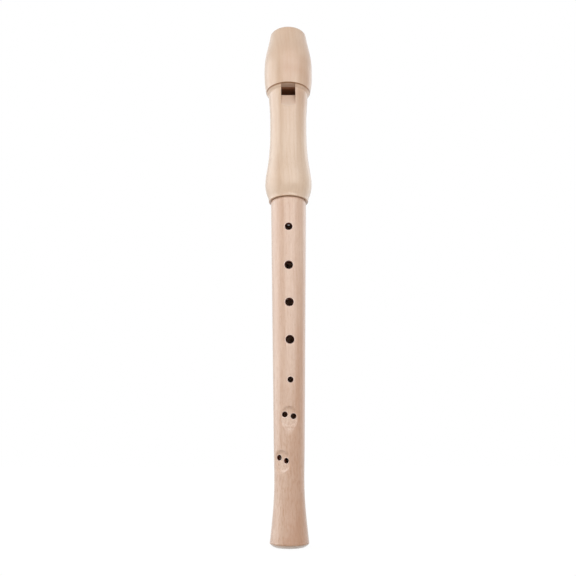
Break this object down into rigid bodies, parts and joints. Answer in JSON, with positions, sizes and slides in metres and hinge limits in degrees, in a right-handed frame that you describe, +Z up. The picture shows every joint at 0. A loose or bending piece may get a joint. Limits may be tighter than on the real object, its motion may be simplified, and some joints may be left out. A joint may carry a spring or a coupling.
{
  "type": "soprano recorder",
  "caption": "Slim wooden soprano recorder in two turned joints, with a beak, a window, finger holes down the front and a flared foot.",
  "frame": {"origin": "centre of the foot end, on the surface that the recorder stands on", "axes": "+Z up along the bore to the mouth end, -Y the front with the window and the finger holes, +X to the right seen from the front"},
  "size_m": [0.0318, 0.0318, 0.3276],
  "materials": {
    "head_wood": "satin, pale close-grained wood, turned and sanded",
    "lower_wood": "satin, pale close-grained wood with straight grain, turned and sanded",
    "block_wood": "matt, bare plug wood",
    "cork": "matt sheet cork, greased"
  },
  "bodies": {
    "lower": {"lower_joint": "lower_wood"},
    "cork": {"tenon_cork": "cork"},
    "head": {"head_joint": "head_wood"},
    "block": {"block": "block_wood"}
  },
  "joints": [
    {"name": "head_turn", "type": "hinge", "parent": "lower", "child": "cork", "pos_m": [0, 0, 0.2179], "axis": [0, 0, 1], "continuous": true},
    {"name": "head_draw", "type": "slide", "parent": "cork", "child": "head", "axis": [0, 0, 1], "range_m": [0, 0.03]},
    {"name": "block_draw", "type": "slide", "parent": "head", "child": "block", "axis": [0, 0, 1], "range_m": [0, 0.046]}
  ]
}
